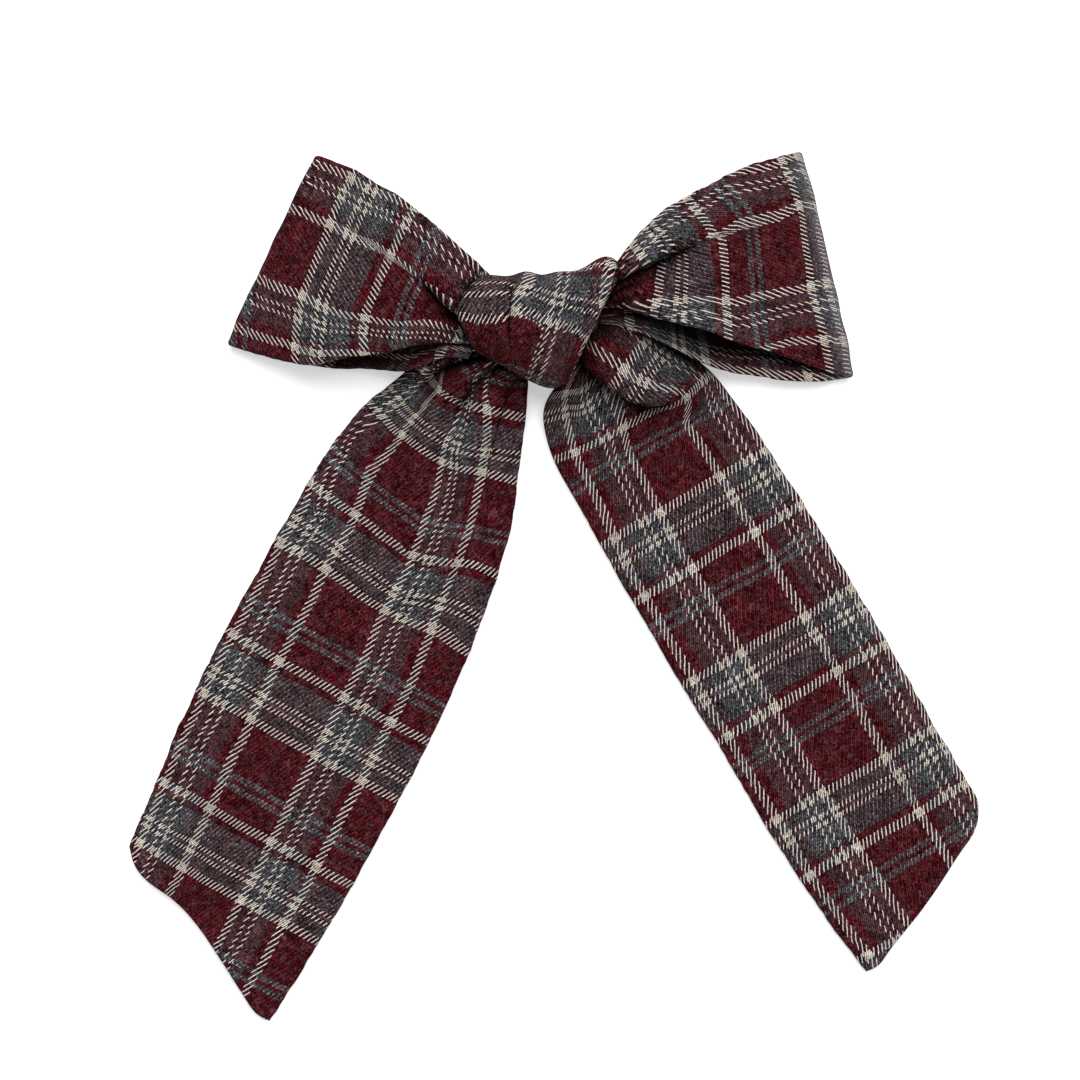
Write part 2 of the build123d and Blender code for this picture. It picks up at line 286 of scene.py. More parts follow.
def stripe_colour(node, thread, stripes):
    """The colour of a numbered thread in a repeating list of stripes."""
    repeat = sum(count for _, count in stripes)
    part = node("Math", (thread, 1 / repeat), operation="MULTIPLY")
    part = node("Math", (part,), operation="FRACT")
    stops, done = [], 0
    for colour, count in stripes:
        stops.append((done / repeat, colour))
        done += count
    ramp = node("ValToRGB", {"Fac": part}, stops=stops)
    ramp.color_ramp.interpolation = "CONSTANT"
    return ramp


def plaid_flannel(node):
    """Cotton flannel, a 2/2 twill of dyed yarns brushed on its face.

    The eye gets fine diagonal ribs, thin white dashes with dark gaps where a few white yarns cross the
    red and the grey, a heathered grey, and curly fibres of the raised nap; painted shade darkens its rib
    grooves and folds.
    """
    cloth = node("UVMap", uv_map="cloth_mm")
    plaid = node("UVMap", uv_map="plaid_mm")
    # yarns wander by a third of their pitch over a millimetre, and more over a few centimetres
    places = [cloth, plaid]
    for scale, reach in ((1.3, 0.24), (0.07, 1.3)):
        wander = node("TexNoise", {"Vector": cloth, "Scale": scale, "Detail": 2.0}, noise_dimensions="2D")
        wander = node("VectorMath", (wander.outputs["Color"], (0.5, 0.5, 0.5)), operation="SUBTRACT")
        places = [node("VectorMath", (wander, (reach, reach, 0.0), place), operation="MULTIPLY_ADD")
                  for place in places]
    per_mm = (1 / WEFT_PITCH, 1 / WARP_PITCH, 0.0)
    threads, stripes = (node("VectorMath", (place, per_mm), operation="MULTIPLY") for place in places)
    number = node("SeparateXYZ", (stripes,))
    cell = node("VectorMath", (threads,), operation="FLOOR")
    # in a 2/2 twill a warp yarn goes over two wefts and under two, a step later in each next warp
    diagonal = node("VectorMath", (cell, (1.0, 1.0, 0.0)), operation="DOT_PRODUCT").outputs["Value"]
    step = node("Math", (diagonal, 4.0, 0.0), operation="WRAP")
    warp_up = node("Math", (step, 1.5), operation="LESS_THAN")
    weft = stripe_colour(node, number.outputs["X"], WEFT_STRIPES)
    warp = stripe_colour(node, number.outputs["Y"], WARP_STRIPES)
    face, under = (node("Mix", {"Factor": warp_up, 6: low, 7: high}, data_type="RGBA").outputs[2]
                   for low, high in ((weft, warp), (warp, weft)))
    greens = [node("SeparateColor", {"Color": yarn}).outputs["Green"] for yarn in (face, under)]
    pale, beside = (node("MapRange", (green, 0.15, 0.5)) for green in greens)

    # each diagonal rib is round and those of the warp sink into the nap; that relief is painted as shade,
    # dark at each rib's edges and darker on the warp's ribs
    rib = node("VectorMath", (threads, (1.0, 1.0, 0.0)), operation="DOT_PRODUCT").outputs["Value"]
    for operation, *more in (("SUBTRACT", 0.5), ("MULTIPLY", pi / 2), ("SINE",), ("ABSOLUTE",)):
        rib = node("Math", (rib, *more), operation=operation)
    warp_rib_shade = node("MapRange", (warp_up, 0.0, 1.0, 1.0, 0.5))
    rib_relief_and_shade = node("Math", (rib, warp_rib_shade), operation="MULTIPLY")

    # the nap carries fibres of both yarns, so a dark float takes some of the colour below it, while
    # a white float is a fine clean line and its gaps show only what it crosses
    own = node("MapRange", (warp_up, 0.0, 1.0, 0.76, 0.56))
    own = node("Mix", {"Factor": beside, 2: own, 3: 1.0}, data_type="FLOAT").outputs[0]
    own = node("Mix", {"Factor": pale, 2: own, 3: 0.08}, data_type="FLOAT").outputs[0]
    yarn_colour = node("Mix", {"Factor": own, 6: under, 7: face}, data_type="RGBA").outputs[2]
    # uneven yarn: blotches over a few threads, lighter and darker floats, and soft clouds
    mottle = node("TexNoise", {"Vector": cloth, "Scale": 1.5, "Detail": 1.5, "Roughness": 0.6},
                  noise_dimensions="2D")
    lot = node("TexWhiteNoise", {"Vector": cell}, noise_dimensions="2D")
    cloud = node("TexNoise", {"Vector": cloth, "Scale": 0.2, "Detail": 3.0}, noise_dimensions="2D")
    grey = node("MapRange", (node("SeparateColor", {"Color": yarn_colour}).outputs["Green"], 0.01, 0.09))
    swing = node("MapRange", (grey, 0.0, 1.0, 2.6, 7.0))
    depth = node("MapRange", (mottle, 0.3, 0.7, -0.6, 0.6), clamp=False)
    shade = node("Math", (swing, depth), operation="POWER")
    # painted shade of the rib grooves multiplies the yarn's random tone here, with the darker ground beside
    # pale yarns
    for spread in ((cloud, 0.3, 0.7, 0.55, 1.35), (rib_relief_and_shade, 0.12, 1.0, 0.0, 1.6),
                   (beside, 0.0, 1.0, 1.0, 0.4), (lot, 0.0, 1.0, 0.35, 1.6)):
        shade = node("Math", (shade, node("MapRange", spread)), operation="MULTIPLY")
    ground = node("VectorMath", {0: yarn_colour, "Scale": shade}, operation="SCALE").outputs[0]
    stroke = node("Math", (rib, 4.0), operation="POWER")
    stroke = node("Math", (stroke, pale), operation="MULTIPLY")
    showing = node("MapRange", (mottle, 0.3, 0.7, 0.75, 1.8))
    stroke = node("Math", (stroke, showing), operation="MULTIPLY", use_clamp=True)
    # a white float alone among dyed ones is bleached bright, and white on white is creamier
    bright = node("Mix", {"Factor": beside, 6: linear("#fff0ec"), 7: linear("#f2e3cf")},
                  data_type="RGBA").outputs[2]
    colour = node("Mix", {"Factor": stroke, 6: ground, 7: bright}, data_type="RGBA").outputs[2]

    # along a fold that has been rubbed the nap stands up pale grey, in streaks
    rubbed = node("Attribute", attribute_name="worn").outputs["Fac"]
    rubbed = node("Math", (rubbed, node("MapRange", (mottle, 0.35, 0.65, 0.35, 0.95))), operation="MULTIPLY")
    colour = node("Mix", {"Factor": rubbed, 6: colour, 7: linear("#8f8b8f")}, data_type="RGBA").outputs[2]

    # nap: curly fibres as thin broken lines, each sort as (scale, offset, width, opacity)
    nap = None
    for scale, offset, width, opacity in ((0.8, 0.0, 0.045, 0.42), (1.25, 37.0, 0.055, 0.34),
                                          (0.5, 71.0, 0.028, 0.5)):
        shifted = node("VectorMath", (cloth, (offset, offset, 0.0)), operation="ADD")
        curl = node("TexNoise", {"Vector": shifted, "Scale": scale, "Detail": 1.0, "Distortion": 0.9},
                    noise_dimensions="2D")
        level = node("Math", (curl, 0.5), operation="SUBTRACT")
        level = node("Math", (level,), operation="ABSOLUTE")
        line = node("MapRange", (level, width * 0.3, width, 1.0, 0.0))
        length = node("TexNoise", {"Vector": shifted, "Scale": 0.45, "Detail": 1.0}, noise_dimensions="2D")
        length = node("MapRange", (length, 0.44, 0.6, 0.0, opacity))
        curl = node("Math", (line, length), operation="MULTIPLY")
        nap = node("Math", (nap, curl), operation="MAXIMUM") if nap else curl
    faint = node("MapRange", (stroke, 0.0, 1.0, 1.0, 0.3))
    nap = node("Math", (nap, faint), operation="MULTIPLY")
    fibre = node("VectorMath", (yarn_colour, (1.5, 1.8, 1.8), (0.13, 0.12, 0.125)),
                 operation="MULTIPLY_ADD").outputs[0]
    colour = node("Mix", {"Factor": nap, 6: colour, 7: fibre}, data_type="RGBA").outputs[2]
    # painted shade: the colour goes darker in folds, creases and under overhangs, by ambient occlusion out
    # to 30 mm
    fold_occlusion = node("AmbientOcclusion", {"Distance": 30 * MM}, samples=8).outputs["AO"]
    painted_fold_shade = node("MapRange", (fold_occlusion, 0.33, 0.9, 0.05, 1.0))
    colour = node("VectorMath", {0: colour, "Scale": painted_fold_shade}, operation="SCALE").outputs[0]
    lift = node("Math", (mottle, 2.0, rib_relief_and_shade), operation="MULTIPLY_ADD")
    lift = node("Math", (nap, 0.9, lift), operation="MULTIPLY_ADD")
    bump = node("Bump", {"Height": lift, "Strength": 0.9, "Distance": 0.3 * MM})
    return {"Base Color": colour, "Roughness": 1.0, "Specular IOR Level": 0.03, "Normal": bump}


def wool_felt(node):
    """Pressed felt, 1.4 mm thick and dyed charcoal: a matt face of tangled fibres with no weave."""
    here = node("TexCoord").outputs["Object"]
    tangle = node("TexNoise", {"Vector": here, "Scale": 2.6 / MM, "Detail": 4.0, "Distortion": 1.4})
    cloud = node("TexNoise", {"Vector": here, "Scale": 0.24 / MM, "Detail": 2.0})
    mixed = node("Math", (cloud, 0.35, tangle), operation="MULTIPLY_ADD")
    colour = node("ValToRGB", {"Fac": mixed}, stops=[(0.45, "#1d1b1d"), (0.68, "#38353a"), (0.9, "#545058")])
    bump = node("Bump", {"Height": mixed, "Strength": 0.8, "Distance": 0.3 * MM})
    return {"Base Color": colour, "Roughness": 0.96, "Specular IOR Level": 0.15,
            "Sheen Weight": 0.35, "Sheen Roughness": 0.5, "Normal": bump}


def nickel_plated_steel(node, grain):
    """Stamped spring steel, nickel plated: a bright grey with fine marks of the press along its length."""
    here = node("TexCoord").outputs["Object"]
    stretched = node("VectorMath", (here, grain), operation="MULTIPLY")
    marks = node("TexNoise", {"Vector": stretched, "Scale": 1.0, "Detail": 4.0})
    smear = node("TexNoise", {"Vector": here, "Scale": 0.16 / MM, "Detail": 3.0})
    rough = node("Math", (marks, 0.16, 0.17), operation="MULTIPLY_ADD")
    rough = node("Math", (smear, 0.12, rough), operation="MULTIPLY_ADD")
    colour = node("ValToRGB", {"Fac": smear}, stops=[(0.35, "#b9bbbd"), (0.65, "#d3d2cf")])
    bump = node("Bump", {"Height": marks, "Strength": 0.25, "Distance": 0.04 * MM})
    return {"Base Color": colour, "Metallic": 1.0, "Roughness": rough, "Normal": bump}


def grosgrain_ribbon(node):
    """Polyester grosgrain, wine red: a crosswise rib every 0.6 mm, with a low silky shine."""
    here = node("TexCoord").outputs["Object"]
    along = node("SeparateXYZ", (here,)).outputs["X"]
    turns = node("Math", (along, 2 * pi / (0.6 * MM)), operation="MULTIPLY")
    rib = node("Math", (turns,), operation="SINE")
    slub = node("TexNoise", {"Vector": here, "Scale": 3 / MM, "Detail": 2.0})
    mixed = node("Math", (slub, 0.6, rib), operation="MULTIPLY_ADD")
    spread = node("MapRange", (mixed, -1.0, 1.6))
    colour = node("ValToRGB", {"Fac": spread}, stops=[(0.0, "#2d0b11"), (1.0, "#631c28")])
    bump = node("Bump", {"Height": mixed, "Strength": 0.7, "Distance": 0.12 * MM})
    return {"Base Color": colour, "Roughness": 0.55, "Sheen Weight": 0.2, "Normal": bump}


def hot_glue(node):
    """Hot-melt glue, set clear and slightly yellow: glossy, cloudy inside, with a wavy skin."""
    here = node("TexCoord").outputs["Object"]
    skin = node("TexNoise", {"Vector": here, "Scale": 0.42 / MM, "Detail": 2.0})
    colour = node("ValToRGB", {"Fac": skin}, stops=[(0.35, "#b9ab8c"), (0.7, "#d9d0ba")])
    bump = node("Bump", {"Height": skin, "Strength": 0.5, "Distance": 0.4 * MM})
    return {"Base Color": colour, "Roughness": 0.28, "IOR": 1.48, "Transmission Weight": 0.35,
            "Normal": bump}


def sewing_thread(node):
    """Spun polyester thread, burgundy: two plies twisted, a soft shine and a few loose hairs."""
    here = node("TexCoord").outputs["Object"]
    ply = node("TexWave", {"Vector": here, "Scale": 0.9 / MM, "Distortion": 1.0}, bands_direction="DIAGONAL")
    colour = node("ValToRGB", {"Fac": ply}, stops=[(0.0, "#3a1016"), (1.0, "#74303a")])
    bump = node("Bump", {"Height": ply, "Strength": 0.6, "Distance": 0.1 * MM})
    return {"Base Color": colour, "Roughness": 0.6, "Sheen Weight": 0.2, "Normal": bump}


def light_table(node):
    """White acrylic lit a little from below, as a light table is, so shadows on it stay pale."""
    here = node("TexCoord").outputs["Object"]
    tone = node("TexNoise", {"Vector": here, "Scale": 0.03 / MM, "Detail": 3.0})
    colour = node("ValToRGB", {"Fac": tone}, stops=[(0.3, "#fafafa"), (0.7, "#fcfcfc")])
    return {"Base Color": colour, "Roughness": 0.9, "Specular IOR Level": 0.1,
            "Emission Color": (1.0, 1.0, 1.0, 1.0), "Emission Strength": 0.44}


FLANNEL = finish("plaid_cotton_flannel_brushed_twill", plaid_flannel)
FELT = finish("pressed_wool_felt_charcoal", wool_felt)


# ---- directions
def plan_axes(root, heading):
    """A root point and the unit vectors out along a heading and to its left, in plan."""
    turn = radians(heading)
    return np.array(root, float), np.array([cos(turn), sin(turn)]), np.array([-sin(turn), cos(turn)])


def in_plan(axes, out, left):
    """Plan points from distances out and left in such a frame."""
    root, along, side = axes
    return root + np.asarray(out)[..., None] * along + np.asarray(left)[..., None] * side


def ridge(distance, width):
    """A rounded fold of height 1 across a line, width mm to each side."""
    return np.exp(-(distance / width) ** 2)


def valley(distance, width):
    """A sharp-bottomed crease of depth 1 along a line, width mm to each side."""
    return np.exp(-np.abs(distance / width) ** 1.2)


def stack(*values):
    """A grid of points, or of places on the cloth, from a grid of each coordinate."""
    return np.stack(np.broadcast_arrays(*values), axis=-1)


def pucker(u):
    """How the cloth stands between the furrows that the tight white wefts pull along one side, in mm."""
    from_furrow = (u - WHITE_WEFT + WEFT_REPEAT / 2) % WEFT_REPEAT - WEFT_REPEAT / 2
    return 1.0 - valley(from_furrow, 1.9)


# ---- left tail
LEFT_TAIL = plan_axes((-16, -28.4), 241.0)
# Its edges to the left and the right of the way out, as (out, left), and its cut end, as (left, out).
LEFT_TAIL_NEAR = [
    (-30, 3), (-23, 2.5), (-15.7, 5.5), (-7.3, 9.5), (0, 12.4), (16, 19), (45, 25.6), (79, 29.4),
    (114, 30.3), (150, 29.9), (175, 28.6)]
LEFT_TAIL_FAR = [
    (-30, -8), (-22, -8.6), (-16.5, -12.4), (-12.8, -18.6), (-8.4, -23.2), (-4, -25.6), (0, -27.4),
    (9, -31), (37, -35), (71, -35.4), (107, -34.2), (147, -29.9), (175, -27.5)]
LEFT_TAIL_CUT = [
    (-31, 147), (-27.5, 151.9), (-13, 157.4), (5.6, 164.6), (20.8, 172.6), (25.5, 174.4), (30, 174.2)]
LEFT_TAIL_WIDTH, LEFT_TAIL_LENGTH = 64.8, 200
LEFT_TAIL_PLAID = (58.66, -10.5)      # (u, v) of the plaid at the root, on the near edge
LEFT_TAIL_OUTER = -35.3       # where its far edge lies along most of its length
# Where lines of the plaid cross on a piece, as (x, y, u, v), for lay_plaid.
LEFT_TAIL_MARKS = [
    (-44.5, -25.3, 46.62, 46), (-38.1, -30.9, 46.62, 36.54), (-27.3, -38.3, 46.62, 16.07),
    (-24.6, -39, 46.62, 11.81), (-22.9, -39.2, 46.62, 9.61), (-16.2, -41.4, 46.62, 1.26),
    (-6.3, -43.7, 46.62, -9.5), (-15.3, -34.2, 54.02, 1.26), (-15.3, -36.8, 51.82, 1.26),
    (-5.6, -35.6, 54.02, -9.5), (-5.6, -37.8, 51.82, -9.5), (-16, -23.5, 64.89, 1.26),
    (-5.1, -25.2, 64.89, -9.5), (-26.5, -19.3, 64.89, 36.54), (-30.5, -14.3, 64.89, 46),
    (-13.8, -15, 74, 1.26), (-23, -21, 64.89, 27), (-21.8, -31, 57.5, 9.61), (-20.8, -27.3, 61, 9.61),
    (-47.5, -40.9, 32.4, 36.54), (-31.2, -52.2, 33.5, 16.07), (-19.4, -54.2, 33, 1.26),
    (-51.6, -53.2, 19.53, 36.54), (-35.8, -64.4, 19.53, 16.07), (-23, -66.4, 19.53, 1.26)]


def left_tail_cloth():
    """The left tail from the knot to its slant cut: its points, its weave and its plaid."""
    share = edge_steps(LEFT_TAIL_WIDTH, 0.8) / LEFT_TAIL_WIDTH
    rows = edge_steps(LEFT_TAIL_LENGTH, 0.8) / LEFT_TAIL_LENGTH
    row, b = np.meshgrid(rows, share, indexing="ij")
    cut = through(LEFT_TAIL_CUT, 29 - 57.5 * b)      # the cut end is 57.5 mm wide
    # weft lines run round the neck, so the middle of the strip starts further out than its edges
    neck = -23 - 2 * np.sin(pi * b)
    s = cut + (neck - cut) * row
    u = LEFT_TAIL_PLAID[0] - s
    bend = through([(0, -9.3), (0.21, -3.6), (0.5, 0), (0.8, -0.4), (1, -2.1)], b)
    u = u + bend * fall(s, 50, 35) * climb(s, -40, 30)
    gather = fall(s, 30, 30)
    across = b + 0.24 * gather * np.sin(pi * b) * (1 - b)
    near = through(LEFT_TAIL_NEAR, s) + edge_wander(s, 0.18, 11, 13)
    far = through(LEFT_TAIL_FAR, s) + edge_wander(s, -0.18, 12, 14)
    left = near + (far - near) * across
    lie = through([(-30, 9), (-23, 7.6), (-14, 6), (-5, 4.4), (4, 3.2), (15, 2.1), (26, 1.7), (45, LYING),
                   (180, LYING)], s)
    crown = 1.6 * gather * np.sin(pi * np.clip(across, 0, 1)) ** 0.7
    c = LEFT_TAIL_WIDTH * b
    # pleats at the neck: height, shape, place across, half width, and where along the tail each one shows
    pleats = 0
    for height, fold, place, wide, shows in (
            (-4.5, valley, 0.79, 2.2, fall(s, 2, 12)),
            (-3.6, valley, 0.375, 2.4, fall(s, 8, 14)),
            (2.2, ridge, 0.57, 7, fall(s, 14, 26)),
            (3.4, ridge, 0.915, 4.4, fall(s, 0, 10) * climb(s, -19, 8)),
            (1.6, ridge, 0.22, 5, fall(s, 20, 24)),
            (-1.6, valley, 0.135, 2.2, fall(s, 30, 30))):
        pleats = pleats + height * fold(c - place * LEFT_TAIL_WIDTH, wide) * shows
    calm = climb(s, 5, 60)
    waves = 0.8 * ripple(s, c, 26, 21) * (1 - 0.55 * calm) + 0.25 * ripple(s, c, 9, 22)
    inner = smooth(np.minimum(b, 1 - b) / 0.12)
    z = lie + crown + pleats + np.maximum(waves + 0.5, 0) * inner + pucker(u) * inner
    plan = in_plan(LEFT_TAIL, s, left)
    points, cloth = stack(plan[..., 0], plan[..., 1], z), stack(u, LEFT_TAIL_PLAID[1] + c)
    # the weave runs along the tail, and along its far edge where that fans out from the neck
    lean = (through(LEFT_TAIL_FAR, s + 1) - through(LEFT_TAIL_FAR, s - 1)) / 2 * fall(s, 60, 40)
    beside = climb(c, 34, 24)
    weave = stack(u - beside * lean * (left - far), -left + beside * (far - LEFT_TAIL_OUTER))
    return points, weave, lay_plaid(points, cloth, LEFT_TAIL_MARKS, fall(s, 75, 30), 7.0)


# ---- right tail
RIGHT_TAIL = plan_axes((8.6, -43), 300.3)
RIGHT_TAIL_NEAR = [(-12, -1.9), (0, -1.9), (32, -2.4), (97, -1.9), (130, -1.3), (164, 2.2)]
RIGHT_TAIL_FAR = [(-12, 47), (0, 49.8), (17, 51.6), (38, 52.6), (64, 53.2), (114, 53), (140, 53)]
RIGHT_TAIL_CUT = [
    (-2, 160.6), (2.5, 160.8), (5.4, 159.8), (27.9, 151.4), (44, 144), (50.5, 139.4), (53.5, 134.5)]
RIGHT_TAIL_WIDTH = 55.3
RIGHT_TAIL_PLAID = -2.6      # v of the plaid on its near edge, down on the flat tail
RIGHT_TAIL_START = 19.5      # how far out the row of the cloth lies from which its rows are counted
RIGHT_TAIL_LENGTH = 141      # how many mm of rows follow it, before the slant cut
# Threads of the strip above the tail, as (x, y, z) at each row along the cloth: from the knot, over the lobe
# or tucked under it, to the top of the flat tail. Keys are places across the cloth, from its left edge.
RIGHT_TAIL_ROWS = (-64, -54, -44, -34, -26)
RIGHT_TAIL_THREADS = {
    0.0: [(10, -6, 13), (9.2, -11.5, 10.5), (2.2, -20.6, 6), (1.4, -30, 2.6), (3.9, -38, 1.6)],
    10.0: [(10.5, -5, 12), (10.6, -11, 9.6), (8.4, -18.8, 7.4), (9.4, -27, 3.6), (12.4, -34.3, 1.8)],
    19.0: [(11, -4, 10), (13, -9.5, 7.2), (14.2, -16.4, 5.4), (17.2, -23.8, 3.6), (21.2, -30, 2)],
    24.5: [(11, -3, 9), (15.5, -7.5, 6), (21, -12, 4.4), (25.6, -18, 3.4), (26.6, -26.9, 2.2)],
    30.0: [(11, -3, 11), (13.4, -9.5, 8.4), (21.4, -16.6, 6.6), (29, -19.4, 5.2), (32.6, -23.6, 3.2)],
    34.5: [(10, -3.4, 12), (12.6, -10.2, 13.6), (20.8, -17.2, 13.4), (29.4, -21.6, 11.2), (36.2, -22, 6)],
    39.1: [(11, -2, 12.4), (13.6, -7.6, 15), (22.7, -14.6, 15.6), (30.9, -18.6, 12.6), (39.4, -20.2, 6.6)],
    47.0: [(12.5, 0, 11), (18.8, -1.2, 12.6), (27.4, -7.4, 12.6), (35.6, -12.9, 9.8), (43.6, -16.6, 5.6)],
    55.3: [(14, 2, 7), (21.8, 1.4, 7), (31.8, -3.2, 6.4), (40.4, -7.8, 5), (47.8, -13.4, 3.4)],
}


def right_tail_cloth():
    """The right tail, and the strip above it that comes out of the knot: its points, weave and plaid."""
    share = edge_steps(RIGHT_TAIL_WIDTH, 0.7)
    rows = np.concatenate([np.arange(-62, 0, 0.7), edge_steps(RIGHT_TAIL_LENGTH, 0.8)[5:]])
    row, c = np.meshgrid(rows, share, indexing="ij")
    b = c / RIGHT_TAIL_WIDTH
    cut = through(RIGHT_TAIL_CUT, -1.4 + 54.6 * b) - RIGHT_TAIL_START      # 54.6 mm wide
    u = np.where(row > 0, row * cut / RIGHT_TAIL_LENGTH, row)
    s = u + RIGHT_TAIL_START
    near = through(RIGHT_TAIL_NEAR, s) + edge_wander(s, 0.18, 31, 33)
    far = through(RIGHT_TAIL_FAR, s) + edge_wander(s, -0.18, 32, 34)
    plan = in_plan(RIGHT_TAIL, s, near + (far - near) * b)
    waves = 0.7 * ripple(s, c, 26, 41) + 0.25 * ripple(s, c, 9, 42)
    inner = smooth(np.minimum(b, 1 - b) / 0.12)
    flat = stack(plan[..., 0], plan[..., 1], LYING + (np.maximum(waves + 0.45, 0) + pucker(u)) * inner)
    # the strip above: each thread is a curve, and the cloth is a curve across the threads
    keys = sorted(RIGHT_TAIL_THREADS)
    ends = np.array([-17, -8, 2, 12])
    near, far = (through(edge, ends + RIGHT_TAIL_START) for edge in (RIGHT_TAIL_NEAR, RIGHT_TAIL_FAR))
    threads = []
    for key in keys:
        tail = in_plan(RIGHT_TAIL, ends + RIGHT_TAIL_START, near + (far - near) * key / RIGHT_TAIL_WIDTH)
        points = [(row_at, *place) for row_at, place in zip(RIGHT_TAIL_ROWS, RIGHT_TAIL_THREADS[key])]
        points += [(end, x, y, LYING) for end, (x, y) in zip(ends, tail)]
        threads.append(through(points, np.clip(rows, -64, 12)))
    threads = np.stack(threads, axis=1)
    upper = np.einsum("cj,rjk->rck", spline_weights(keys, share), threads)
    blend = climb(u, -20, 16)[..., None]
    points = upper * (1 - blend) + flat * blend
    drift = through([(-60, 3.7), (-26, 3.7), (0, 0.9), (26, 0), (160, 0)], u) * (1 - b)
    cloth = stack(u, c + RIGHT_TAIL_PLAID - drift)
    return points, cloth, cloth


# ---- loops
# Both loops, in mm. up is 1 where the top edge lies to the left of the way out, and -1 where it lies to
# the right. Edges and the crease are (out, left) tables. The crease swallows some of the cloth, so the
# marks of the plaid, (x, y, u, v) as lay_plaid takes them, are partly kept apart below and above it.
LEFT_LOOP = SimpleNamespace(
    axes=plan_axes((-20.5, 2), 154.8), up=-1, fold=56.6, width=59.4, seed=50,
    top=[(-6, -11), (0, -13.2), (17, -18.4), (34, -22.2), (46, -23.2), (56.5, -22.9)],
    front_low=[(-6, 6), (-2.6, 7.5), (8.9, 13.3), (13.9, 17.7), (19.8, 21.7), (25.2, 25.2), (30, 29),
        (40, 32.6), (56.5, 35.3)],
    back_low=[(-6, 10.5), (0, 13), (4, 16.4), (7.2, 19.8), (12.2, 22.5), (20.8, 25.9), (29.2, 29.3),
        (40, 32.6), (56.5, 35.3)],
    crease=[(-6, 1.6), (2.5, 0.4), (7.5, -0.8), (13.3, -3), (18, -3.6), (24, -4.8), (60, -13)],
    crease_end=21, crease_fade=17, sag=2.6, low_roll=1.6, low_roll_end=30, gathers=0.9, pleats=5.5,
    first_pleat=0.7, calm=58, lift=0, plaid_start=(-10.0, 54), lean=6.16, worn=0,
    marks=[(-52.3, 41.2, 1.26, 51.35), (-58, 28, 1.26, 36.54), (-66, 8, 1.26, 16.07),
        (-67.3, 2.6, 1.26, 10.7), (-67.6, -6.6, 1.26, 1.26), (-53.6, 25.6, 6.46, 36.54),
        (-51.2, 24.4, 8.66, 36.54), (-61.6, 6.2, 6.46, 16.07), (-59.5, 5.4, 8.66, 16.07),
        (-62.7, -8, 6.46, 1.26), (-60.5, -8.3, 8.66, 1.26), (-41, 19, 19.53, 36.54),
        (-37.5, 27.5, 19.53, 46), (-48.6, 1.6, 19.53, 16.07), (-48.8, -9, 19.53, 1.26),
        (-69, 32.5, -11.2, 36.54), (-80, 12.7, -14.3, 16.07), (-84.3, -1.5, -17.3, 1.26),
        (-62.4, 45.2, -9.5, 51.35)],
    below=[(-37, -1.8, 32, 16.07), (-28, -0.6, 41, 16.07), (-23, -2, 46, 16.07), (-33, 9, 32.5, 27),
        (-27, 4, 39, 21), (-40, -8, 28, 1.26)],
    above=[(-35, 13.5, 28, 36.54), (-30, 10, 34.5, 36.54), (-24, 4.5, 43, 36.54), (-32, 23, 27.5, 44.9),
        (-27, 17, 35.5, 44.9), (-22.6, 13.5, 41.5, 44.9), (-30, 24.5, 28, 47.1), (-25.2, 18.4, 36.5, 47.1),
        (-19.6, 14.1, 43, 47.1), (-20, 18, 41, 51.35)])
RIGHT_LOOP = SimpleNamespace(
    axes=plan_axes((20.5, 7), 13.1), up=1, fold=59.8, width=65.1, seed=60,
    top=[(-6, 2), (0, 5.5), (3, 8.5), (8, 13.1), (16, 18.6), (27, 22.6), (40, 26), (59.7, 28.2)],
    front_low=[(-6, -2), (0, -3.6), (10, -8.4), (20, -14), (31, -20.5), (44, -27.5), (54, -33.5),
        (59.7, -36.6)],
    back_low=[(-6, -6), (8, -13.4), (19, -22.6), (32, -29.4), (45, -34), (59.7, -36.7)],
    crease=[(-6, 1.5), (1, 3.6), (14, 7.2), (29, 9.4), (34, 9.6), (60, 9)],
    crease_end=33, crease_fade=20, sag=2.4, low_roll=1.4, low_roll_end=34, gathers=0.8, pleats=5.0,
    first_pleat=0.4, calm=60, lift=3.4, plaid_start=(7.3, 58.1), lean=0, worn=1,
    marks=[(68.3, 42, 1.26, 47.1), (69.3, 40.3, 1.26, 44.9), (72, 33, 1.26, 36.54),
        (75.5, 10.5, 1.26, 16.07), (76.6, 5, 1.26, 10.7), (79.2, -4, 1.26, 1.26), (81.3, -14, 1.26, -8.8),
        (50.3, 25, -25.83, 36.54), (58.3, 8, -17.96, 16.07), (61.8, 8.3, -15.1, 16.07),
        (57.5, 22, -17.96, 31), (60.8, 21, -15.1, 31), (57, 29.3, -18, 36.54), (64, 31.3, -9, 36.54)],
    below=[(52, 7, -25.83, 16.07), (52, 1.5, -25.83, 10.7), (52.3, -4.5, -25.83, 5), (52, 16, -25.83, 26),
        (32.6, 5.6, -44.1, 16.07), (35, 16, -44.1, 26.8), (38, 6, -38.9, 16.07), (40.5, 6.2, -36.7, 16.07),
        (39, 17.5, -38.9, 27.5), (41.7, 18, -36.7, 28), (21, 4, -55.9, 16.07), (24, 11, -53, 23)],
    above=[(44.7, 31, -25.83, 44.9), (42.8, 33.5, -25.83, 47.1), (41, 35.3, -25.83, 51.35),
        (28.8, 18.3, -44.1, 44.9), (27.3, 20.8, -44.1, 47.1), (35.3, 24.5, -36.7, 44.9),
        (33.3, 26.5, -36.7, 47.1), (22, 13.3, -52, 44.9), (24.5, 16.5, -48.5, 47.1), (47, 28, -25.83, 41)])
# Side profiles of a loop's plies, as (out, z) of the middle of the cloth.
FRONT_SIDE = [
    (-6, 14.8), (0, 17), (5, 19.6), (10, 21), (20, 21.9), (28, 21.4), (38, 17.6), (47, 11.8), (54, 7)]
BACK_SIDE = [(-6, 14.6), (0, 13.8), (9, 10.4), (20, 6.2), (32, 3.4), (42, 2.1), (54, 1.6)]
SIDE_REACH = 54        # where they end and the fold begins; each loop stretches them to its own length
FOLD_DEPTH = 2.9       # how far the fold stands out from there


